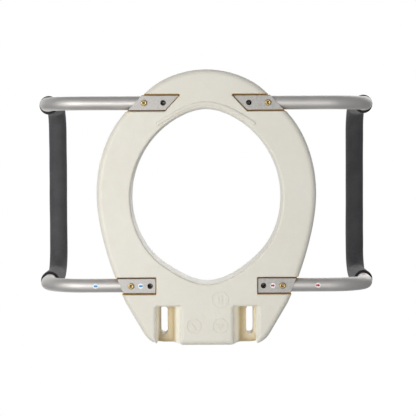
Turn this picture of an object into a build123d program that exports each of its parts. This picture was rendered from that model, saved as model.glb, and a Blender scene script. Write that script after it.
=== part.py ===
"""Toilet seat riser with two removable padded support arms.

Frame: Z up, as the riser stands on a toilet bowl. -Y is the front, +Y the hinge end,
+X the seated user's left. The origin is under the middle of the bounding box.
"""
import math
import os

from build123d import *

# ---- riser -------------------------------------------------------------------------
RISER_HEIGHT = 88.9           # 3.5 in lift
RISER_HALF_LENGTH = 220.9
RISER_HALF_WIDTH = 175.8
WALL = 3.2                    # blow-moulded polyethylene
LIP_HEIGHT = 1.6              # bead under the front edge of the seat hole
UNDERSIDE = LIP_HEIGHT
TOP = UNDERSIDE + RISER_HEIGHT
UNDER_EDGE = 9.0              # edge radii
TOP_EDGE = 12.0
HOLE_UNDER_EDGE = 3.0
HOLE_TOP_EDGE = 8.0
REAR_CORNER = 38.0
PARTING_PROUD = 0.35
PARTING_TALL = 1.0

# right half of the outer outline, from the front tip back to the start of the rear taper
OUTLINE = [
    (0, -RISER_HALF_LENGTH),
    (56.0, -210.0),
    (84.0, -194.6),
    (101.0, -180.0),
    (137.5, -143.0),
    (163.5, -94.8),
    (RISER_HALF_WIDTH, -27.7),
    (163.7, 59.1),
    (148.7, 107.5),
    (130.0, 153.1),
]
REAR_HALF_WIDTH = 90.0        # where the taper would meet the straight rear edge

# right half of the seat hole
HOLE_FRONT = -159.1
HOLE_REAR = 122.7
HOLE_OUTLINE = [
    (0, HOLE_FRONT),
    (47.4, -144.4),
    (84.3, -114.6),
    (116.7, -54.9),
    (121.8, -10.1),
    (103.3, 54.5),
    (66.5, 94.4),
    (0, HOLE_REAR),
]

# bead on the underside, round the front of the seat hole
LIP_PATH = [(-76.5, -134.0), (-51.0, -150.1), (0, -166.3), (51.0, -150.1), (76.5, -134.0)]
LIP_HALF_WIDTH = 3.4
LIP_RADIUS = (LIP_HALF_WIDTH**2 + LIP_HEIGHT**2) / (2 * LIP_HEIGHT)

# ---- hinge-bolt slots, each in a deep recess that is open at the rear -----------------
BOLT_SPACING = 139.7          # 5.5 in between the seat's hinge bolts
SLOT_WIDTH = 11.6
SLOT_FRONT = 162.0
SLOT_REAR = 208.0
RECESS_FRONT = 158.5
RECESS_DEPTH = 46.0
# X where each wall, drawn straight, would meet the underside and the recess's floor
RECESS_INNER_MOUTH = 42.0
RECESS_INNER_FLOOR = 57.0
RECESS_OUTER_MOUTH = 80.8
RECESS_OUTER_FLOOR = 77.9
RECESS_INNER_BEND = 6.6       # radii that turn those corners into soft bends
RECESS_OUTER_BEND = 6.4
RECESS_FOOT_BEND = 7.0
RECESS_CORNER = 1.6
RECESS_BRIM = 12.0            # room beside the mouth for its bends
RECESS_FRONT_EDGE = 4.0       # rounding where the recess starts
RECESS_FLARE = 6.0            # rounding where it opens at the rear
FLARE_TURNS = (0, 25, 50, 70) # degrees round that rounding, one section at each

# ---- mould marks on the underside, plain shapes only ----------------------------------
MARK_HEIGHT = 0.9
MARK_LINE = 1.3
MARK_ROOT = 0.5               # how far each mark reaches into the wall
BARS_APART = 5.2
POINTER_HEAD = 2.4
POINTER_TURN = -35.0
FIGURE_SHARE = 0.55           # of the ring's radius
MARKS = {
    # X, Y, radius
    "bars": (21.0, 147.4, 13.6),
    "pointer": (-21.4, 189.9, 12.0),
    "triangle": (21.0, 189.9, 12.4),
}
VENT_SPOT = (134.5, 65.5)     # closed blow-pin hole
VENT_RADIUS = 1.6
VENT_DEPTH = 0.8

# ---- square sockets let into the underside --------------------------------------------
SOCKET = 24.8
SOCKET_WALL = 1.1
SOCKET_CORNER = 1.8
SOCKET_RECESS = 4.4           # socket face above the underside
POCKET_GAP = 1.4
POCKET_ROOF_GAP = 0.8
POCKET_CORNER = 1.5
POCKET_BRIM = 1.2             # bevel round the pocket's mouth
POCKET_BRIM_ANGLE = 45.0
TUBE_Z = UNDERSIDE + SOCKET_RECESS + SOCKET / 2
ROWS = {
    # axis Y, inner and outer end of the socket on that axis, plan slope dX/dY of each end,
    # X of the arm lock screw, X of the screw that holds the socket, end of the arm tube
    "front": dict(y=-167.6, inner=54.6, outer=113.6, inner_slope=0.93, outer_slope=0.93,
                  lock_x=99.0, fix_x=68.5, tube_end=76.0),
    "rear": dict(y=125.4, inner=82.4, outer=138.6, inner_slope=0.0, outer_slope=-0.42,
                 lock_x=121.4, fix_x=90.9, tube_end=98.4),
}
SIDES = {"left": 1, "right": -1}

# ---- screws ----------------------------------------------------------------------------
LOCK_SHANK = 4.8              # number 10, 24 threads to the inch
LOCK_HOLE = 5.2
LOCK_HEAD = 9.4
LOCK_HEAD_HEIGHT = 2.5
WASHER_THICK = 1.2
WASHER_OUTER = 8.6
WASHER_INNER = 5.1
WASHER_SPLIT = 0.8
WASHER_SPLIT_SLANT = 20.0
NUT_FLATS = 9.5
NUT_THICK = 3.2
NUT_RELIEF = 13.0
TIP_GAP = 1.0                 # from the lock screw's tip to the relief's roof
THREAD_CLEARANCE = 0.05
LOCK_TIP_PAST_NUT = 1.2
FIX_SHANK = 4.0
FIX_HEAD = 7.8
FIX_HEAD_HEIGHT = 2.6
FIX_LENGTH = 16.0
ACCESS_HOLE = 9.0
CROSS_WIDTH = 1.3
CROSS_LENGTH = 5.2
CROSS_DEPTH = 1.5
HEAD_ROUNDING = 0.62          # of the head's height
TIP_CHAMFER = 0.16            # of the shank's diameter

# ---- arms --------------------------------------------------------------------------------
TUBE = 22.2                   # 7/8 in
TUBE_WALL = 1.5
LEG_X = 262.0
GRIP_Z = 265.0
BEND = 45.0                   # centreline radius of the bends inside the grip
LOWER_BEND = 63.5             # 2.5 in
FOAM_START_Z = 111.5
FOAM = 31.2
FOAM_FIT = 0.1                # between foam and tube
SLOT_PLAY = 0.6

# ---- match-up dots, white with a coloured arrow --------------------------------------------
DOT = 8.4
DOT_THICK = 0.2
ARROW_THICK = 0.12
ARROW_HALF_LENGTH = 3.3
SOCKET_DOT_X = 106.0
TUBE_DOT_X = 178.5

SOCKET_FACE = UNDERSIDE + SOCKET_RECESS
SOCKET_TOP = SOCKET_FACE + SOCKET
POCKET_ROOF = SOCKET_TOP + POCKET_ROOF_GAP
BIG = 400.0
EDGE_SLACK = 5.0              # for picking out the edges round the hole
BELOW = -10.0                 # heights clear of the riser, for cuts right through it
ABOVE = TOP + 10.0


def mirrored(points):
    """The points of a right half outline, with its mirror image first, in one run."""
    left = [(-x, y) for x, y in reversed(points) if x > 0]
    return left + [(x, y) for x, y in points]


def grown_spline(points, grow, closed=False):
    """Spline through the points, each moved outwards by grow."""
    curve = Spline(*points, periodic=closed)
    moved = []
    for point in points:
        along = curve % curve.param_at_point(point)
        moved.append((point[0] + grow * along.Y, point[1] - grow * along.X))
    return Spline(*moved, periodic=closed)


def riser_face(grow=0.0):
    """Plan outline: curved front and sides, then a straight taper to a straight rear edge."""
    rear = RISER_HALF_LENGTH + grow
    curve = grown_spline(mirrored(OUTLINE), grow)
    x, y = OUTLINE[-1]
    taper = Vector(REAR_HALF_WIDTH - x, RISER_HALF_LENGTH - y).normalized()
    start = curve @ 1
    corner = start + taper * ((rear - start.Y) / taper.Y)
    straight = Polyline(start, corner, (-corner.X, rear), curve @ 0)
    face = make_face(Wire([curve] + straight.edges()))
    corners = [v for v in face.vertices() if abs(v.Y - rear) < 0.1]
    return fillet(corners, REAR_CORNER + grow)


def hole_face(grow=0.0):
    return make_face(Wire([grown_spline(mirrored(HOLE_OUTLINE), grow, closed=True)]))


def slab(face, low, high):
    return extrude(Pos(0, 0, low) * face, high - low, dir=(0, 0, 1))


def both_sides(solid):
    return [solid, solid.mirror(Plane.YZ)]


def edges_at(solid, z):
    return solid.edges().filter_by_position(Axis.Z, z - 0.01, z + 0.01)


def prism(points, low, high):
    """Upright prism on a plan outline."""
    return slab(make_face(Polyline(*points, close=True)), low, high)


def channel(row, inner, outer, half_width, low, high):
    """Plan-view channel along X with the row's end slopes."""
    y0, y1 = row["y"] - half_width, row["y"] + half_width
    end = lambda x, slope, y: (x + slope * (y - row["y"]), y)
    return prism([
        end(inner, row["inner_slope"], y0),
        end(outer, row["outer_slope"], y0),
        end(outer, row["outer_slope"], y1),
        end(inner, row["inner_slope"], y1),
    ], low, high)


def pocket(row, grow):
    """Pocket for a socket, open below and at the riser's side, with relief for the nut."""
    half = SOCKET / 2 + POCKET_GAP + grow
    lean = math.hypot(1, row["inner_slope"])
    inner = row["inner"] - (POCKET_GAP + grow) * lean
    body = channel(row, inner, row["outer"] + BIG, half, BELOW, POCKET_ROOF + grow)
    if grow == 0:
        inner_edges = body.edges().filter_by(Axis.Z).sort_by(Axis.X)[:2]
        body = fillet(inner_edges, POCKET_CORNER)
        brim = body.faces().sort_by(Axis.Z)[0]
        brim = Pos(0, 0, UNDERSIDE + POCKET_BRIM - BELOW) * brim
        body += extrude(brim, POCKET_BRIM, dir=(0, 0, -1), taper=-POCKET_BRIM_ANGLE)
    relief_top = SOCKET_TOP + NUT_THICK + LOCK_TIP_PAST_NUT + TIP_GAP + grow
    relief = Pos(row["lock_x"], row["y"], 0) * Cylinder(
        NUT_RELIEF / 2 + grow, relief_top, align=(Align.CENTER, Align.CENTER, Align.MIN))
    return body + relief


def recess_section(y, grow):
    """Section of a recess at Y: drafted walls with soft bends, its floor at the top."""
    floor = UNDERSIDE + RECESS_DEPTH + grow
    inner_foot = (RECESS_INNER_FLOOR - grow, floor)
    inner_mouth = (RECESS_INNER_MOUTH - grow, UNDERSIDE)
    outer_mouth = (RECESS_OUTER_MOUTH + grow, UNDERSIDE)
    outer_foot = (RECESS_OUTER_FLOOR + grow, floor)
    inner_brim = inner_mouth[0] - RECESS_BRIM
    outer_brim = outer_mouth[0] + RECESS_BRIM
    section = make_face(Plane.XZ * Polyline(
        inner_foot, inner_mouth, (inner_brim, UNDERSIDE), (inner_brim, BELOW),
        (outer_brim, BELOW), (outer_brim, UNDERSIDE), outer_mouth, outer_foot, close=True))
    bends = {
        inner_foot: RECESS_FOOT_BEND + grow,
        inner_mouth: RECESS_INNER_BEND - grow,
        outer_mouth: RECESS_OUTER_BEND - grow,
        outer_foot: RECESS_CORNER + grow,
    }
    for (x, z), radius in bends.items():
        corner = section.vertices().sort_by_distance((x, 0, z))[0]
        section = fillet(corner, radius)
    return Pos(0, y, 0) * section


def recess(grow):
    """The hollow under a hinge-bolt slot, open below and at the rear."""
    return extrude(recess_section(RECESS_FRONT - grow, grow), BIG, dir=(0, 1, 0))


def recess_rounding():
    """Rounds the recess's front edge, and flares it where it opens at the rear."""
    r = RECESS_FRONT_EDGE
    width = RECESS_OUTER_MOUTH - RECESS_INNER_MOUTH
    middle = (RECESS_OUTER_MOUTH + RECESS_INNER_MOUTH) / 2
    block = Pos(middle, RECESS_FRONT, UNDERSIDE) * Box(width, 2 * r, 2 * r)
    block -= Pos(middle, RECESS_FRONT - r, UNDERSIDE + r) * Rot(0, 90, 0) * Cylinder(r, 2 * width)
    start = RISER_HALF_LENGTH - RECESS_FLARE
    sections = []
    for angle in FLARE_TURNS:
        along = RECESS_FLARE * math.sin(math.radians(angle))
        grow = RECESS_FLARE * (1 - math.cos(math.radians(angle)))
        sections.append(recess_section(start + along, grow))
    last = recess_section(RISER_HALF_LENGTH + 1, grow + 1)
    return block + loft(sections + [last])


def bolt_slot(grow):
    width = SLOT_WIDTH + 2 * grow
    length = SLOT_REAR - SLOT_FRONT + 2 * grow
    middle = Pos(BOLT_SPACING / 2, (SLOT_FRONT + SLOT_REAR) / 2, 0)
    return slab(middle * (Rot(0, 0, 90) * SlotOverall(length, width)), BELOW, ABOVE)


def mark(name, x, y, radius):
    """Raised ring with a plain figure in it, like the marks that a mould leaves."""
    ring = Circle(radius) - Circle(radius - MARK_LINE)
    bar = Rectangle(MARK_LINE, radius)
    if name == "bars":
        figure = Pos(-BARS_APART / 2, 0) * bar + Pos(BARS_APART / 2, 0) * bar
    elif name == "pointer":
        head = Pos(0, radius / 2) * RegularPolygon(POINTER_HEAD, 3, rotation=90)
        figure = Rot(0, 0, POINTER_TURN) * (bar + head)
    else:
        across = radius * FIGURE_SHARE
        figure = RegularPolygon(across, 3, rotation=90)
        figure -= RegularPolygon(across - 2 * MARK_LINE, 3, rotation=90)
    return slab(Pos(x, y) * (ring + figure), UNDERSIDE - MARK_HEIGHT, UNDERSIDE + MARK_ROOT)


def riser_cavity():
    """The closed hollow inside the blow moulding."""
    floor, roof = UNDERSIDE + WALL, TOP - WALL
    hollow = slab(riser_face(-WALL), floor, roof)
    hollow = fillet(edges_at(hollow, floor), UNDER_EDGE - WALL)
    hollow = fillet(edges_at(hollow, roof), TOP_EDGE - WALL)
    hollow -= slab(hole_face(WALL), 0, TOP)
    for row in ROWS.values():
        for solid in both_sides(pocket(row, WALL)):
            hollow -= solid
    for solid in both_sides(recess(WALL)) + both_sides(bolt_slot(WALL)):
        hollow -= solid
    return hollow


def lip():
    """Rounded bead; most of its section is inside the wall."""
    centre_z = LIP_RADIUS
    path = Spline(*[(x, y, centre_z) for x, y in LIP_PATH])
    bead = sweep(Plane(origin=path @ 0, z_dir=path % 0) * Circle(LIP_RADIUS), path)
    for end in (path @ 0, path @ 1):
        bead += Pos(*end) * Sphere(LIP_RADIUS)
    return bead


def make_riser():
    body = slab(riser_face(), UNDERSIDE, TOP)
    body = fillet(edges_at(body, UNDERSIDE), UNDER_EDGE)
    body = fillet(edges_at(body, TOP), TOP_EDGE)
    middle = (UNDERSIDE + TOP) / 2
    body += slab(riser_face(PARTING_PROUD), middle - PARTING_TALL / 2, middle + PARTING_TALL / 2)
    hole = slab(hole_face(), BELOW, ABOVE)
    body -= hole
    rim = [e for e in edges_at(body, UNDERSIDE) if hole_edge(e)]
    body = fillet(rim, HOLE_UNDER_EDGE)
    rim = [e for e in edges_at(body, TOP) if hole_edge(e)]
    body = fillet(rim, HOLE_TOP_EDGE)
    for tool in (recess(0), recess_rounding(), bolt_slot(0)):
        for solid in both_sides(tool):
            body -= solid
    for row in ROWS.values():
        for solid in both_sides(pocket(row, 0)):
            body -= solid
    body -= riser_cavity()
    body += lip()
    for name, place in MARKS.items():
        body += mark(name, *place)
    body -= Pos(*VENT_SPOT, 0) * Cylinder(VENT_RADIUS, 2 * (UNDERSIDE + VENT_DEPTH))
    for row in ROWS.values():
        for side in SIDES.values():
            pilot = FIX_SHANK / 2 + THREAD_CLEARANCE
            body -= Pos(side * row["fix_x"], row["y"], POCKET_ROOF) * Cylinder(pilot, 2 * FIX_LENGTH)
    return body


def hole_edge(edge):
    """True for an edge that lies on the seat hole's outline."""
    x, y, _ = edge @ 0.5
    half_width = max(across for across, _ in HOLE_OUTLINE) + EDGE_SLACK
    return abs(x) < half_width and HOLE_FRONT - EDGE_SLACK < y < HOLE_REAR + EDGE_SLACK


def make_socket(row, side):
    outer = extrude(Plane.YZ * RectangleRounded(SOCKET, SOCKET, SOCKET_CORNER), BIG)
    bore = SOCKET - 2 * SOCKET_WALL
    inner = extrude(Plane.YZ * RectangleRounded(bore, bore, SOCKET_CORNER - SOCKET_WALL), BIG)
    tube = Pos(0, row["y"], TUBE_Z) * (outer - inner)
    tube &= channel(row, row["inner"], row["outer"], SOCKET, BELOW, TOP)
    holes = [
        (row["lock_x"], TUBE_Z, LOCK_HOLE, 2 * SOCKET),
        (row["fix_x"], SOCKET_FACE, ACCESS_HOLE, SOCKET),
        (row["fix_x"], SOCKET_TOP, FIX_SHANK + 2 * THREAD_CLEARANCE, SOCKET),
    ]
    for x, z, across, tall in holes:
        tube -= Pos(x, row["y"], z) * Cylinder(across / 2, tall)
    return tube if side > 0 else tube.mirror(Plane.YZ)


def cross_recess(depth):
    arm = Box(CROSS_LENGTH, CROSS_WIDTH, depth, align=(Align.CENTER, Align.CENTER, Align.MIN))
    return arm + Rot(0, 0, 90) * arm


def pan_screw(head, head_height, shank, length):
    """Screw pointing up, with the underside of its head at z = 0."""
    top = Pos(0, 0, -head_height / 2) * Cylinder(head / 2, head_height)
    top = fillet(top.edges().filter_by(GeomType.CIRCLE).sort_by(Axis.Z)[0], head_height * HEAD_ROUNDING)
    top -= Pos(0, 0, -head_height) * Rot(0, 0, 45) * cross_recess(CROSS_DEPTH)
    shaft = Cylinder(shank / 2, length, align=(Align.CENTER, Align.CENTER, Align.MIN))
    return top + chamfer(shaft.edges().filter_by(GeomType.CIRCLE).sort_by(Axis.Z)[-1:], shank * TIP_CHAMFER)


def make_lock_screw(row, side):
    seat = SOCKET_FACE - WASHER_THICK
    length = SOCKET_TOP + NUT_THICK + LOCK_TIP_PAST_NUT - seat
    screw = pan_screw(LOCK_HEAD, LOCK_HEAD_HEIGHT, LOCK_SHANK, length)
    return Pos(side * row["lock_x"], row["y"], seat) * screw


def make_washer(row, side):
    ring = Cylinder(WASHER_OUTER / 2, WASHER_THICK) - Cylinder(WASHER_INNER / 2, WASHER_THICK)
    split = Box(WASHER_OUTER, WASHER_SPLIT, 3 * WASHER_THICK)
    ring -= Pos(WASHER_OUTER / 2, 0, 0) * Rot(WASHER_SPLIT_SLANT, 0, 0) * split
    return Pos(side * row["lock_x"], row["y"], SOCKET_FACE - WASHER_THICK / 2) * ring


def make_nut(row, side):
    nut = extrude(RegularPolygon(NUT_FLATS / 2, 6, major_radius=False), NUT_THICK)
    nut -= Cylinder(LOCK_SHANK / 2 + THREAD_CLEARANCE, 4 * NUT_THICK)
    return Pos(side * row["lock_x"], row["y"], SOCKET_TOP) * nut


def make_fix_screw(row, side):
    screw = pan_screw(FIX_HEAD, FIX_HEAD_HEIGHT, FIX_SHANK, FIX_LENGTH)
    return Pos(side * row["fix_x"], row["y"], SOCKET_TOP - SOCKET_WALL) * screw


def bent_bar(path, across):
    section = Plane(origin=path @ 0, z_dir=path % 0) * Circle(across / 2)
    return sweep(section, path)


def make_tube(side):
    front, rear = ROWS["front"], ROWS["rear"]
    path = FilletPolyline(
        (front["tube_end"], front["y"], TUBE_Z),
        (LEG_X, front["y"], TUBE_Z),
        (LEG_X, front["y"], GRIP_Z),
        (LEG_X, rear["y"], GRIP_Z),
        (LEG_X, rear["y"], TUBE_Z),
        (rear["tube_end"], rear["y"], TUBE_Z),
        radius=[LOWER_BEND, BEND, BEND, LOWER_BEND],
    )
    tube = bent_bar(path, TUBE) - bent_bar(path, TUBE - 2 * TUBE_WALL)
    for row in ROWS.values():
        # open-ended slot, so that the end slides past the loosened lock screw
        start, stop = row["tube_end"] - TUBE_WALL, row["lock_x"]
        width = LOCK_SHANK + 2 * SLOT_PLAY
        cut = Pos((start + stop) / 2, row["y"], TUBE_Z) * Box(stop - start, width, 2 * TUBE)
        cut += Pos(stop, row["y"], TUBE_Z) * Cylinder(width / 2, 2 * TUBE)
        tube -= cut
    return tube if side > 0 else tube.mirror(Plane.YZ)


def make_foam(side):
    front, rear = ROWS["front"], ROWS["rear"]
    path = FilletPolyline(
        (LEG_X, front["y"], FOAM_START_Z),
        (LEG_X, front["y"], GRIP_Z),
        (LEG_X, rear["y"], GRIP_Z),
        (LEG_X, rear["y"], FOAM_START_Z),
        radius=BEND,
    )
    foam = bent_bar(path, FOAM) - bent_bar(path, TUBE + 2 * FOAM_FIT)
    return foam if side > 0 else foam.mirror(Plane.YZ)


def arrow_face(size):
    """Plain arrow that points outwards along +X."""
    neck, head, shaft = 0.15 * size, 0.72 * size, 0.42 * size
    return make_face(Polyline(
        (size, 0), (neck, head), (neck, shaft), (-size, shaft),
        (-size, -shaft), (neck, -shaft), (neck, -head), close=True))


def flat_dot(side):
    """Dot and arrow on the flat face of a rear socket."""
    y = ROWS["rear"]["y"]
    place = Pos(side * SOCKET_DOT_X, y, 0)
    turn = Rot(0, 0, 0 if side > 0 else 180)
    disc = place * slab(Circle(DOT / 2), SOCKET_FACE - DOT_THICK, SOCKET_FACE)
    face = SOCKET_FACE - DOT_THICK
    arrow = place * turn * slab(arrow_face(ARROW_HALF_LENGTH), face - ARROW_THICK, face)
    return disc, arrow


def wrapped_dot(side):
    """Dot and arrow wrapped round the underside of a rear tube end."""
    y = ROWS["rear"]["y"]
    place = Pos(side * TUBE_DOT_X, y, 0)
    turn = Rot(0, 0, 0 if side > 0 else 180)

    def skin(inside, thick):
        lie = Pos(side * TUBE_DOT_X, y, TUBE_Z) * Rot(0, 90, 0)
        return lie * (Cylinder(inside + thick, 2 * DOT) - Cylinder(inside, 2 * DOT))

    disc = skin(TUBE / 2, DOT_THICK) & (place * slab(Circle(DOT / 2), 0, TUBE_Z))
    outline = place * turn * slab(arrow_face(ARROW_HALF_LENGTH), 0, TUBE_Z)
    arrow = skin(TUBE / 2 + DOT_THICK, ARROW_THICK) & outline
    return disc, arrow


def build_all():
    nodes = {"riser_body": make_riser()}
    for side_name, side in SIDES.items():
        for row_name, row in ROWS.items():
            end = f"{row_name}_{side_name}"
            nodes[f"socket_{end}"] = make_socket(row, side)
            nodes[f"socket_screw_{end}"] = make_fix_screw(row, side)
            nodes[f"lock_nut_{end}"] = make_nut(row, side)
            nodes[f"lock_washer_{end}"] = make_washer(row, side)
            nodes[f"lock_screw_{end}"] = make_lock_screw(row, side)
        nodes[f"arm_tube_{side_name}"] = make_tube(side)
        nodes[f"foam_grip_{side_name}"] = make_foam(side)
        nodes[f"socket_dot_{side_name}"], nodes[f"socket_arrow_{side_name}"] = flat_dot(side)
        nodes[f"tube_dot_{side_name}"], nodes[f"tube_arrow_{side_name}"] = wrapped_dot(side)
    return nodes


os.makedirs("parts", exist_ok=True)
for node_name, shape in build_all().items():
    export_step(shape, f"parts/{node_name}.step")
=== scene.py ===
"""Looks for a toilet seat riser with two padded arms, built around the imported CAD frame."""
import math

import bmesh
import bpy
from mathutils import Matrix, Vector, noise


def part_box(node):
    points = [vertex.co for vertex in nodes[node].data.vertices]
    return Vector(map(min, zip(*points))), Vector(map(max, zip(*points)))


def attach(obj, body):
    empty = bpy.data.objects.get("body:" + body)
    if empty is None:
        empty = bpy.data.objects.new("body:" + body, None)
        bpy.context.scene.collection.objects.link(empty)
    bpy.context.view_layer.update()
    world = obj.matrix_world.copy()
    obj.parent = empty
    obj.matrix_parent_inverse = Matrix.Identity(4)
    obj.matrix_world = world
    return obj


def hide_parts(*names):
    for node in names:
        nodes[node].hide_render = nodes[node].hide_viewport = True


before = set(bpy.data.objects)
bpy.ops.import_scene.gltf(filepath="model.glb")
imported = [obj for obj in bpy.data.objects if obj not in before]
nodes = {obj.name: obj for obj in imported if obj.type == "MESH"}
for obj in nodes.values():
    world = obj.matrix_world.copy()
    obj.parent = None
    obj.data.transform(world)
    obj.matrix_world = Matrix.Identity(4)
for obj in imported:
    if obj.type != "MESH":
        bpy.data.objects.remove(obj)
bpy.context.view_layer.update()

SIDES = ("left", "right")
ROWS = ("front", "rear")
ENDS = [f"{row}_{side}" for row in ROWS for side in SIDES]

MM = 0.001
TUBE_RADIUS = 11.1 * MM
BEND_RADIUS = 45.0 * MM
FOAM_CLEARANCE = 0.15 * MM
FOAM_FOOT = 111.5 * MM        # height of the sleeves' cut ends

# the hinge recesses: where their painted shade and painted light fade in and out across X, along Y and in
# height
RECESS_INSIDE = (38.0 * MM, 41.0 * MM)
RECESS_OUTSIDE = (87.0 * MM, 83.5 * MM)
RECESS_WALL_FOOT = (78.6 * MM, 76.6 * MM)
RECESS_PAST_SLOT = (203.0 * MM, 211.0 * MM)
RECESS_START = (155.0 * MM, 157.5 * MM)
RECESS_END = (211.0 * MM, 219.0 * MM)
RECESS_FLOOR = 47.6 * MM
RECESS_ABOVE_FLOOR = (RECESS_FLOOR + 6.5 * MM, RECESS_FLOOR + 5.5 * MM)
RECESS_MOUTH = (2.5 * MM, 9.0 * MM)
RECESS_SHADE_DEPTH = (0.48 * RECESS_FLOOR, 0.78 * RECESS_FLOOR)
RECESS_GLOW = 0.085
# the socket pockets: each row's Y and where its pockets start in X, and their reach either side
UNDERSIDE = 1.6 * MM
POCKET_ROWS = {-167.6 * MM: 33.0 * MM, 125.4 * MM: 77.0 * MM}
POCKET_REACH = (15.4 * MM, 14.9 * MM)
POCKET_ROOF = (32.2 * MM, 31.8 * MM)
POCKET_MOUTH = (UNDERSIDE + 0.25 * MM, UNDERSIDE + 1.3 * MM)
POCKET_LIT = (UNDERSIDE + 1.0 * MM, UNDERSIDE + 2.5 * MM)
POCKET_GLOW = 0.16
# where the foam sleeves' cut ends are darkened as painted shade
FOAM_END_SHADE = (FOAM_FOOT + 0.7 * MM, FOAM_FOOT + 1.6 * MM)
FILM_ROUGHNESS = 0.35


# ---- camera: the riser is seen from underneath, its front edge at the top -----------------
CAMERA_AT = Vector((0.0, -0.098, -2.4))
CAMERA_AIM = Vector((0.0025, 0.0003, 0.0))
CAMERA_ROLL = math.radians(0.26)
LENS = 130.3


def make_camera():
    data = bpy.data.cameras.new("camera")
    data.sensor_width = 36.0
    data.lens = LENS
    camera = bpy.data.objects.new("camera", data)
    bpy.context.scene.collection.objects.link(camera)
    ahead = (CAMERA_AIM - CAMERA_AT).normalized()
    right = ahead.cross(Vector((0, -1, 0))).normalized()
    up = right.cross(ahead)
    turn = Matrix.Rotation(CAMERA_ROLL, 3, ahead)
    right, up = turn @ right, turn @ up
    place = Matrix((right, up, -ahead)).transposed().to_4x4()
    place.translation = CAMERA_AT
    camera.matrix_world = place
    bpy.context.scene.camera = camera


# ---- light and floor -------------------------------------------------------------------------
LIGHTS_AIM = Vector((0, 0, 0.08))
AROUND_STRENGTH = 0.36


def area_light(name, at, size, energy):
    data = bpy.data.lights.new(name, "AREA")
    data.shape = "SQUARE"
    data.size = size
    data.energy = energy
    light = bpy.data.objects.new(name, data)
    bpy.context.scene.collection.objects.link(light)
    light.location = at
    light.rotation_euler = (LIGHTS_AIM - Vector(at)).to_track_quat("-Z", "Y").to_euler()
    light.visible_camera = False


def make_world():
    world = bpy.data.worlds.new("studio")
    bpy.context.scene.world = world
    world.use_nodes = True
    tree = world.node_tree
    tree.nodes.clear()
    output = tree.nodes.new("ShaderNodeOutputWorld")
    mix = tree.nodes.new("ShaderNodeMixShader")
    path = tree.nodes.new("ShaderNodeLightPath")
    around, backdrop = (tree.nodes.new("ShaderNodeBackground") for _ in range(2))
    around.inputs["Color"].default_value = (0.93, 0.96, 1.0, 1)
    around.inputs["Strength"].default_value = AROUND_STRENGTH
    backdrop.inputs["Color"].default_value = (1, 1, 1, 1)
    tree.links.new(path.outputs["Is Camera Ray"], mix.inputs[0])
    tree.links.new(around.outputs[0], mix.inputs[1])
    tree.links.new(backdrop.outputs[0], mix.inputs[2])
    tree.links.new(mix.outputs[0], output.inputs[0])


def make_floor():
    """Pale floor, seen from above only, so that the riser can be looked at from below."""
    half = 12.0
    lit_inside, lost_outside = 1.3, 4.5
    mesh = bpy.data.meshes.new("floor")
    corners = [(-half, -half, 0), (half, -half, 0), (half, half, 0), (-half, half, 0)]
    mesh.from_pydata(corners, [], [(0, 1, 2, 3)])
    floor = bpy.data.objects.new("floor", mesh)
    bpy.context.scene.collection.objects.link(floor)
    material = bpy.data.materials.new("floor")
    material.use_nodes = True
    tree = material.node_tree
    tree.nodes.clear()
    output = tree.nodes.new("ShaderNodeOutputMaterial")
    mix = tree.nodes.new("ShaderNodeMixShader")
    paint = tree.nodes.new("ShaderNodeBsdfDiffuse")
    clear = tree.nodes.new("ShaderNodeBsdfTransparent")
    geometry = tree.nodes.new("ShaderNodeNewGeometry")
    paint.inputs["Color"].default_value = (0.86, 0.86, 0.86, 1)
    # far out, the floor fades into the backdrop
    far = tree.nodes.new("ShaderNodeEmission")
    far.inputs["Strength"].default_value = 1.0
    place = tree.nodes.new("ShaderNodeTexCoord")
    reach = tree.nodes.new("ShaderNodeVectorMath")
    reach.operation = "LENGTH"
    fade = tree.nodes.new("ShaderNodeMapRange")
    fade.inputs["From Min"].default_value = lit_inside
    fade.inputs["From Max"].default_value = lost_outside
    cove = tree.nodes.new("ShaderNodeMixShader")
    tree.links.new(place.outputs["Object"], reach.inputs[0])
    tree.links.new(reach.outputs["Value"], fade.inputs["Value"])
    tree.links.new(fade.outputs["Result"], cove.inputs[0])
    tree.links.new(paint.outputs[0], cove.inputs[1])
    tree.links.new(far.outputs[0], cove.inputs[2])
    tree.links.new(geometry.outputs["Backfacing"], mix.inputs[0])
    tree.links.new(cove.outputs[0], mix.inputs[1])
    tree.links.new(clear.outputs[0], mix.inputs[2])
    tree.links.new(mix.outputs[0], output.inputs[0])
    mesh.materials.append(material)
    for ray in ("diffuse", "glossy", "transmission", "shadow"):
        setattr(floor, f"visible_{ray}", False)


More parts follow.
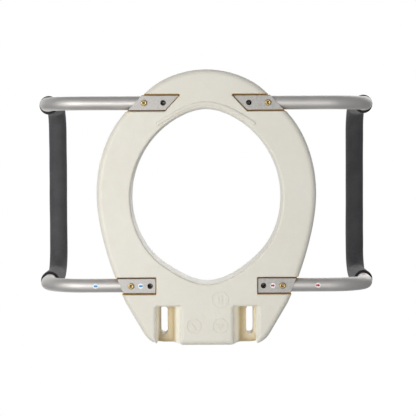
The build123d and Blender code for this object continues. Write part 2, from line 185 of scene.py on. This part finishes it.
# ---- materials --------------------------------------------------------------------------------
class Look:
    """A Principled material with short calls for the nodes that feed it."""

    def __init__(self, name, **values):
        self.material = bpy.data.materials.new(name)
        self.material.use_nodes = True
        self.tree = self.material.node_tree
        self.shader = self.tree.nodes["Principled BSDF"]
        for socket, value in values.items():
            self.shader.inputs[socket.replace("_", " ")].default_value = value
        self.place = self.node("ShaderNodeTexCoord").outputs["Object"]

    def node(self, kind, inputs=None, **settings):
        made = self.tree.nodes.new(kind)
        for setting, value in settings.items():
            setattr(made, setting, value)
        for socket, value in (inputs or {}).items():
            self.feed(made.inputs[socket], value)
        return made

    def feed(self, socket, value):
        if isinstance(value, bpy.types.NodeSocket):
            self.tree.links.new(value, socket)
        else:
            socket.default_value = value

    def noise(self, scale, detail, rough=0.5, place=None, distortion=0.0):
        return self.node("ShaderNodeTexNoise", {
            "Vector": place or self.place, "Scale": scale, "Detail": detail,
            "Roughness": rough, "Distortion": distortion}).outputs["Fac"]

    def cells(self, scale, output):
        return self.node("ShaderNodeTexVoronoi", {"Vector": self.place, "Scale": scale}).outputs[output]

    def spread(self, value, low, high, to_low=0.0, to_high=1.0):
        return self.node("ShaderNodeMapRange", {
            "Value": value, "From Min": low, "From Max": high,
            "To Min": to_low, "To Max": to_high}).outputs["Result"]

    def maths(self, operation, a, b=0.0):
        return self.node("ShaderNodeMath", {0: a, 1: b}, operation=operation).outputs[0]

    def mix(self, amount, a, b):
        made = self.node("ShaderNodeMix", data_type="RGBA")
        self.feed(made.inputs[0], amount)
        self.feed(made.inputs[6], a)
        self.feed(made.inputs[7], b)
        return made.outputs[2]

    def stretched(self, x, y, z):
        return self.node("ShaderNodeVectorMath", {0: self.place, 1: (x, y, z)},
                         operation="MULTIPLY").outputs["Vector"]

    def axis(self, name):
        return self.node("ShaderNodeSeparateXYZ", {0: self.place}).outputs[name]

    def bump(self, height, strength, distance, normal=None):
        inputs = {"Height": height, "Strength": strength, "Distance": distance}
        if normal:
            inputs["Normal"] = normal
        return self.node("ShaderNodeBump", inputs).outputs["Normal"]

    def set(self, socket, value):
        self.feed(self.shader.inputs[socket], value)


def riser_plastic():
    """Ivory polyethylene: clouded, faintly peened, with painted shade in honey brown inside the recesses
    and round the socket pockets, and painted light on the recess walls.
    """
    look = Look("riser_plastic", IOR=1.5, Subsurface_Weight=0.10, Subsurface_Scale=0.006)
    look.set("Subsurface Radius", (1.0, 0.75, 0.45))
    x, y, z = (look.axis(name) for name in "XYZ")
    cloud = look.noise(9.0, 4.0)
    mottle = look.noise(70.0, 5.0, 0.6)
    ivory = look.mix(look.spread(cloud, 0.3, 0.7), (0.70, 0.665, 0.575, 1), (0.73, 0.70, 0.615, 1))
    ivory = look.mix(look.spread(mottle, 0.35, 0.75, 0.0, 0.22), ivory, (0.65, 0.605, 0.505, 1))
    scuff = look.noise(35.0, 8.0, 0.75, look.stretched(1.0, 6.0, 1.0), 1.5)
    ivory = look.mix(look.spread(scuff, 0.62, 0.72, 0.0, 0.20), ivory, (0.56, 0.52, 0.44, 1))
    # painted shade: the hinge recesses turn a warm honey brown towards their floors, darker still towards
    # their rear ends
    across = look.maths("ABSOLUTE", x)
    within = look.maths("MULTIPLY", look.spread(across, *RECESS_INSIDE),
                        look.spread(across, *RECESS_OUTSIDE))
    within = look.maths("MULTIPLY", within, look.spread(y, *RECESS_START))
    within = look.maths("MULTIPLY", within, look.spread(z, *RECESS_ABOVE_FLOOR))
    wall = look.maths("MULTIPLY", within, look.spread(z, *RECESS_MOUTH))
    # painted light: the recess walls are painted a paler cream than the plastic around them
    ivory = look.mix(wall, ivory, (0.95, 0.92, 0.81, 1))
    deep_shade = look.maths("MULTIPLY", within, look.spread(z, *RECESS_SHADE_DEPTH))
    outer_wall = look.maths("MULTIPLY", look.spread(across, *RECESS_WALL_FOOT, 1.0, 0.0),
                            look.spread(y, *RECESS_PAST_SLOT, 1.0, 0.0))
    deep_shade = look.maths("MULTIPLY", deep_shade, look.maths("SUBTRACT", 1.0, outer_wall))
    streak = look.noise(90.0, 3.0, 0.5, look.stretched(1.0, 0.12, 0.12))
    shade_tan = look.mix(look.spread(streak, 0.3, 0.7), (0.67, 0.56, 0.36, 1), (0.74, 0.635, 0.45, 1))
    shade_tan = look.mix(look.spread(y, *RECESS_END), shade_tan, (0.64, 0.50, 0.28, 1))
    colour = look.mix(deep_shade, ivory, shade_tan)
    # and, as painted shade, the socket pockets turn brown from their bevelled mouths inwards
    near = 0.0
    for row, start in POCKET_ROWS.items():
        reach = look.spread(look.maths("ABSOLUTE", look.maths("SUBTRACT", y, row)), *POCKET_REACH)
        reach = look.maths("MULTIPLY", reach, look.maths("GREATER_THAN", across, start))
        near = look.maths("MAXIMUM", reach, near)
    near = look.maths("MULTIPLY", near, look.spread(z, *POCKET_ROOF))
    mouth_shade = look.maths("MULTIPLY", near, look.spread(z, *POCKET_MOUTH))
    colour = look.mix(mouth_shade, colour, (0.66, 0.46, 0.21, 1))
    # painted shade: browner still where ambient occlusion finds the pocket faces closely surrounded
    ao_shade = look.node("ShaderNodeAmbientOcclusion", {"Distance": 5.0 * MM}, samples=12).outputs["AO"]
    pocket_shade = look.maths("MULTIPLY", near, look.spread(ao_shade, 0.85, 0.45, 0.0, 0.8))
    colour = look.mix(pocket_shade, colour, (0.58, 0.38, 0.15, 1))
    look.set("Base Color", colour)
    # light that comes through the thin walls of the recesses and of the pockets
    bare_wall = look.maths("MULTIPLY", wall, look.maths("SUBTRACT", 1.0, deep_shade))
    recess_glow = look.maths("MULTIPLY", bare_wall, RECESS_GLOW)
    pocket_glow = look.maths("MULTIPLY", near, look.spread(z, *POCKET_LIT, 0.0, POCKET_GLOW))
    look.set("Emission Color", look.mix(near, (1.0, 0.94, 0.80, 1), (0.62, 0.36, 0.11, 1)))
    look.set("Emission Strength", look.maths("ADD", recess_glow, pocket_glow))
    look.set("Roughness", look.spread(mottle, 0.3, 0.7, 0.40, 0.54))
    peel = look.bump(look.noise(260.0, 3.0), 0.12, 0.0012)
    look.set("Normal", look.bump(look.noise(1400.0, 2.0), 0.10, 0.0003, peel))
    return look.material


def galvanised():
    """Square socket tube: small zinc spangle under a fine grain."""
    look = Look("galvanised", Metallic=0.7)
    grey = look.node("ShaderNodeSeparateColor", {0: look.cells(420.0, "Color")}).outputs[0]
    fine = look.noise(1100.0, 4.0, 0.65)
    base = look.mix(look.spread(grey, 0.0, 1.0), (0.35, 0.335, 0.315, 1), (0.50, 0.482, 0.455, 1))
    base = look.mix(look.spread(fine, 0.40, 0.75, 0.0, 0.5), base, (0.40, 0.385, 0.36, 1))
    # painted shade: the zinc goes dark brown where ambient occlusion is high, in the socket's corners and
    # gaps
    ao_shade = look.node("ShaderNodeAmbientOcclusion", {"Distance": 3.0 * MM}, samples=8).outputs["AO"]
    base = look.mix(look.spread(ao_shade, 0.75, 0.25), base, (0.20, 0.12, 0.06, 1))
    look.set("Base Color", base)
    look.set("Roughness", look.spread(grey, 0.0, 1.0, 0.46, 0.62))
    look.set("Normal", look.bump(look.maths("ADD", grey, fine), 0.10, 0.0002))
    return look.material


def satin_tube():
    """Plated round tube, brushed dull."""
    look = Look("satin_tube", Metallic=0.85)
    smudge = look.noise(22.0, 4.0, 0.6)
    grain = look.noise(700.0, 4.0, 0.65)
    base = look.mix(look.spread(smudge, 0.3, 0.7), (0.55, 0.525, 0.50, 1), (0.63, 0.605, 0.575, 1))
    look.set("Base Color", base)
    look.set("Roughness", look.spread(look.maths("ADD", smudge, grain), 0.6, 1.4, 0.50, 0.62))
    scratch = look.noise(60.0, 6.0, 0.8, look.stretched(1.0, 14.0, 14.0))
    fine = look.bump(scratch, 0.05, 0.0002)
    look.set("Normal", look.bump(grain, 0.06, 0.0001, fine))
    return look.material


def foam_rubber():
    """Closed-cell foam with a slightly open skin."""
    look = Look("foam_rubber", IOR=1.42, Sheen_Weight=0.12, Sheen_Roughness=0.5)
    look.set("Sheen Tint", (0.62, 0.61, 0.62, 1))
    pores = look.cells(1500.0, "Distance")
    skin = look.noise(420.0, 4.0, 0.6)
    patch = look.noise(28.0, 3.0)
    base = look.mix(look.spread(patch, 0.3, 0.7), (0.056, 0.053, 0.056, 1), (0.076, 0.073, 0.076, 1))
    base = look.mix(look.spread(pores, 0.0, 0.35, 0.6, 0.0), base, (0.016, 0.016, 0.017, 1))
    # painted shade: the sleeves' cut ends are painted near black
    end_shade = look.spread(look.axis("Z"), *FOAM_END_SHADE, 1.0, 0.0)
    base = look.mix(end_shade, base, (0.016, 0.015, 0.016, 1))
    look.set("Base Color", base)
    look.set("Roughness", look.spread(skin, 0.3, 0.7, 0.66, 0.86))
    coarse = look.bump(skin, 0.25, 0.0008)
    look.set("Normal", look.bump(pores, 0.35, 0.0004, coarse))
    return look.material


def yellow_zinc():
    """Yellow passivated zinc, worn paler on the high spots."""
    look = Look("yellow_zinc", Metallic=0.9)
    tint = look.noise(420.0, 3.0, 0.6)
    base = look.mix(look.spread(tint, 0.3, 0.7), (0.50, 0.34, 0.13, 1), (0.56, 0.44, 0.22, 1))
    worn = look.noise(1600.0, 4.0, 0.7)
    base = look.mix(look.spread(worn, 0.58, 0.7, 0.0, 0.5), base, (0.55, 0.52, 0.45, 1))
    # painted shade: near black brown where ambient occlusion is high, in the screw's crevices
    ao_shade = look.node("ShaderNodeAmbientOcclusion", {"Distance": 1.5 * MM}, samples=8).outputs["AO"]
    look.set("Base Color", look.mix(look.spread(ao_shade, 0.90, 0.45), base, (0.07, 0.035, 0.012, 1)))
    look.set("Roughness", look.spread(worn, 0.3, 0.7, 0.30, 0.46))
    look.set("Normal", look.bump(worn, 0.06, 0.0001))
    return look.material


def plain_zinc():
    """Dull grey zinc, darkened as painted shade, for the pieces that sit in the shade."""
    look = Look("plain_zinc", Metallic=0.95)
    tint = look.noise(500.0, 4.0, 0.6)
    base = look.mix(look.spread(tint, 0.3, 0.7), (0.24, 0.22, 0.19, 1), (0.37, 0.35, 0.32, 1))
    look.set("Base Color", base)
    look.set("Roughness", look.spread(tint, 0.3, 0.7, 0.34, 0.52))
    look.set("Normal", look.bump(look.noise(1800.0, 3.0), 0.08, 0.0001))
    return look.material


def film(name, light, dark):
    """Printed vinyl, a little uneven and dulled by handling."""
    look = Look(name, IOR=1.46)
    wear = look.noise(900.0, 5.0, 0.7)
    look.set("Base Color", look.mix(look.spread(wear, 0.4, 0.7), light, dark))
    look.set("Roughness", look.spread(wear, 0.3, 0.7, FILM_ROUGHNESS, FILM_ROUGHNESS + 0.15))
    look.set("Normal", look.bump(wear, 0.05, 0.0001))
    return look.material


def dress(names, material):
    """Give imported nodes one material, in place of their own."""
    for name in names:
        mesh = nodes[name].data
        mesh.materials.clear()
        mesh.materials.append(material)


# ---- foam grips -----------------------------------------------------------------------------------
AROUND = 56
STEP = 2.2 * MM               # between rings along the sleeve
END_ROUND = 1.8 * MM
END_RINGS = (0.12, 0.35, 0.65)    # extra rings on the rounding, as shares of it
WRINKLE_DEPTH = 0.7 * MM
WRINKLE_PITCH = 7.5 * MM
WRINKLE_SKEW = 1.1
STRETCH = 0.7 * MM            # thinning on the outside of each bend
UNEVEN = 0.35 * MM
UNEVEN_SCALE = 28.0


def grip_path(low, high, radius):
    """Point, direction and bend amount at a distance along the sleeve's centreline."""
    x = (low.x + high.x) / 2
    front, rear, top, foot = low.y + radius, high.y - radius, high.z - radius, low.z
    leg = top - BEND_RADIUS - foot
    arc = BEND_RADIUS * math.pi / 2
    bar = rear - front - 2 * BEND_RADIUS
    length = 2 * leg + 2 * arc + bar

    def at(s):
        mirrored = s > length / 2
        t = length - s if mirrored else s
        if t < leg:
            y, z, turn = front, foot + t, 0.0
        elif t < leg + arc:
            turn = (t - leg) / BEND_RADIUS
            y = front + BEND_RADIUS * (1 - math.cos(turn))
            z = top - BEND_RADIUS * (1 - math.sin(turn))
        else:
            y, z, turn = front + BEND_RADIUS + t - leg - arc, top, math.pi / 2
        out = Vector((0, -math.cos(turn), math.sin(turn)))
        ease = min(max((t - leg) / arc, 0.0), 1.0)
        bend = math.sin(math.pi * ease)
        if mirrored:
            y, out.y = front + rear - y, -out.y
        return Vector((x, y, z)), out, bend

    return at, length


def end_inset(edge):
    """How far the skin is drawn in at a distance from the sleeve's end."""
    return END_ROUND - math.sqrt(max(END_ROUND**2 - max(END_ROUND - edge, 0.0) ** 2, 0.0))


def foam_sleeve(side):
    """A sleeve round the grip's tube, creased inside its two bends."""
    node = f"foam_grip_{side}"
    low, high = (Vector(corner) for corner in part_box(node))
    radius = (high.x - low.x) / 2
    at, length = grip_path(low, high, radius)
    bore = TUBE_RADIUS + FOAM_CLEARANCE
    steps = round(length / STEP)
    outer = []
    for i in range(steps + 1):
        s = length * i / steps
        outer.append((s, radius - end_inset(min(s, length - s)), True))
    for share in END_RINGS:
        s = END_ROUND * share
        outer += [(place, radius - end_inset(s), True) for place in (s, length - s)]
    outer.sort()
    middle = (bore + radius - END_ROUND) / 2
    inner_steps = steps // 3      # the hidden bore needs fewer rings
    inner = [(length * (1 - i / inner_steps), bore, False) for i in range(inner_steps + 1)]
    rings = [(0.0, middle, False)] + outer + [(length, middle, False)] + inner

    verts, faces = [], []
    for s, ring_radius, skin in rings:
        centre, out, bend = at(s)
        across = Vector((1, 0, 0))
        for k in range(AROUND):
            angle = 2 * math.pi * k / AROUND
            facing = math.cos(angle)
            direction = out * facing + across * math.sin(angle)
            r = ring_radius
            if skin:
                skew = WRINKLE_SKEW * math.sin(3 * angle)
                fold = 0.5 + 0.5 * math.cos(2 * math.pi * s / WRINKLE_PITCH + skew)
                inside = max(-facing - 0.1, 0.0)
                r -= WRINKLE_DEPTH * bend * inside * fold
                r -= STRETCH * bend * max(facing, 0.0) ** 2
                r += UNEVEN * noise.noise((centre + direction * radius) * UNEVEN_SCALE)
                r -= UNEVEN * 0.5
            verts.append(centre + direction * r)
    count = len(rings)
    for i in range(count):
        j = (i + 1) % count
        for k in range(AROUND):
            n = (k + 1) % AROUND
            faces.append((i * AROUND + k, j * AROUND + k, j * AROUND + n, i * AROUND + n))
    mesh = bpy.data.meshes.new(f"foam_{side}")
    mesh.from_pydata(verts, [], faces)
    mesh.validate()
    mesh.update()
    mesh.shade_smooth()
    piece = bpy.data.objects.new(f"foam_sleeve_{side}", mesh)
    bpy.context.scene.collection.objects.link(piece)
    return piece


# ---- lock screws ------------------------------------------------------------------------------------
THREAD_PITCH = 25.4 / 24 * MM
THREAD_CREST = 2.40 * MM
THREAD_ROOT = 1.92 * MM
THREAD_AROUND = 28
THREAD_ROWS = 10              # to one pitch
HEAD_HEIGHT = 2.5 * MM
PLAIN_SHANK = 0.8 * MM        # under the head
TIP_TAPER = 1.4 * MM
TIP_NARROWING = 0.28
RIDGE_SHAPE = 0.8
HEAD_CUT = 0.1 * MM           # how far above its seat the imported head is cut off
SHANK_SUNK = 0.4 * MM         # how far the new shank reaches into the head
SHARP_EDGE = math.radians(50)


def lock_screw(end):
    """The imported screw's head, on a shank with a real helical thread."""
    node = f"lock_screw_{end}"
    low, high = (Vector(corner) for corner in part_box(node))
    centre = (low + high) / 2
    seat = low.z + HEAD_HEIGHT
    form = bmesh.new()
    form.from_mesh(nodes[node].data)
    form.transform(nodes[node].matrix_world)
    bmesh.ops.remove_doubles(form, verts=form.verts, dist=1e-6)
    everything = form.verts[:] + form.edges[:] + form.faces[:]
    bmesh.ops.bisect_plane(form, geom=everything, dist=1e-7, clear_outer=True,
                           plane_co=(0, 0, seat + HEAD_CUT), plane_no=(0, 0, 1))
    bmesh.ops.holes_fill(form, edges=[edge for edge in form.edges if edge.is_boundary])

    start, stop = seat - SHANK_SUNK, high.z
    rows = round((stop - start) / THREAD_PITCH * THREAD_ROWS)
    rings = []
    for i in range(rows + 1):
        z = start + (stop - start) * i / rows
        cut = min(max((z - seat - PLAIN_SHANK) / THREAD_PITCH, 0.0), 1.0)
        taper = max(z - (stop - TIP_TAPER), 0.0) / TIP_TAPER
        ring = []
        for k in range(THREAD_AROUND):
            turn = k / THREAD_AROUND
            ridge = 0.5 + 0.5 * math.cos(2 * math.pi * (z / THREAD_PITCH - turn))
            groove = (THREAD_CREST - THREAD_ROOT) * cut * (1 - ridge**RIDGE_SHAPE)
            r = (THREAD_CREST - groove) * (1 - TIP_NARROWING * taper**2)
            angle = 2 * math.pi * turn
            ring.append(form.verts.new((centre.x + r * math.cos(angle), centre.y + r * math.sin(angle), z)))
        rings.append(ring)
    for lower, upper in zip(rings, rings[1:]):
        for k in range(THREAD_AROUND):
            n = (k + 1) % THREAD_AROUND
            form.faces.new((lower[k], lower[n], upper[n], upper[k]))
    form.faces.new(rings[0][::-1])
    form.faces.new(rings[-1])
    mesh = bpy.data.meshes.new(f"threaded_{end}")
    form.to_mesh(mesh)
    form.free()
    mesh.validate()
    mesh.shade_smooth()
    mesh.set_sharp_from_angle(angle=SHARP_EDGE)
    piece = bpy.data.objects.new(f"threaded_screw_{end}", mesh)
    bpy.context.scene.collection.objects.link(piece)
    return piece


# ---- build ------------------------------------------------------------------------------------------
make_camera()
make_world()
make_floor()
area_light("key_below", (-1.0, -0.1, -1.1), 0.9, 5.8)
area_light("sheen_below", (-0.85, 0.0, -2.1), 0.8, 22)
area_light("fill_below", (0.0, 0.7, -2.6), 1.8, 9)
area_light("key_above", (1.0, -1.4, 3.0), 3.2, 62)
area_light("fill_above", (-1.7, -0.9, 2.6), 3.0, 28)
area_light("back_above", (-0.6, 1.9, 2.8), 3.0, 32)

dress(["riser_body"], riser_plastic())
dress([f"socket_{end}" for end in ENDS], galvanised())
dress([f"arm_tube_{side}" for side in SIDES], satin_tube())
dress([f"{part}_{end}" for part in ("socket_screw", "lock_nut", "lock_washer") for end in ENDS],
      plain_zinc())
dress([f"{place}_dot_{side}" for place in ("socket", "tube") for side in SIDES],
      film("dot_white", (0.84, 0.86, 0.88, 1), (0.74, 0.75, 0.76, 1)))
dress(["socket_arrow_left", "tube_arrow_left"],
      film("arrow_red", (0.60, 0.018, 0.010, 1), (0.46, 0.014, 0.010, 1)))
dress(["socket_arrow_right", "tube_arrow_right"],
      film("arrow_blue", (0.0, 0.20, 0.50, 1), (0.0, 0.15, 0.38, 1)))

foam = foam_rubber()
for side in SIDES:
    sleeve = foam_sleeve(side)
    sleeve.data.materials.append(foam)
    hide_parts(f"foam_grip_{side}")
    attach(sleeve, f"arm_{side}")

screw_zinc = yellow_zinc()
for end in ENDS:
    screw = lock_screw(end)
    screw.data.materials.clear()
    screw.data.materials.append(screw_zinc)
    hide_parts(f"lock_screw_{end}")
    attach(screw, f"screw_{end}")

scene = bpy.context.scene
scene.view_settings.view_transform = "Standard"
scene.view_settings.look = "None"
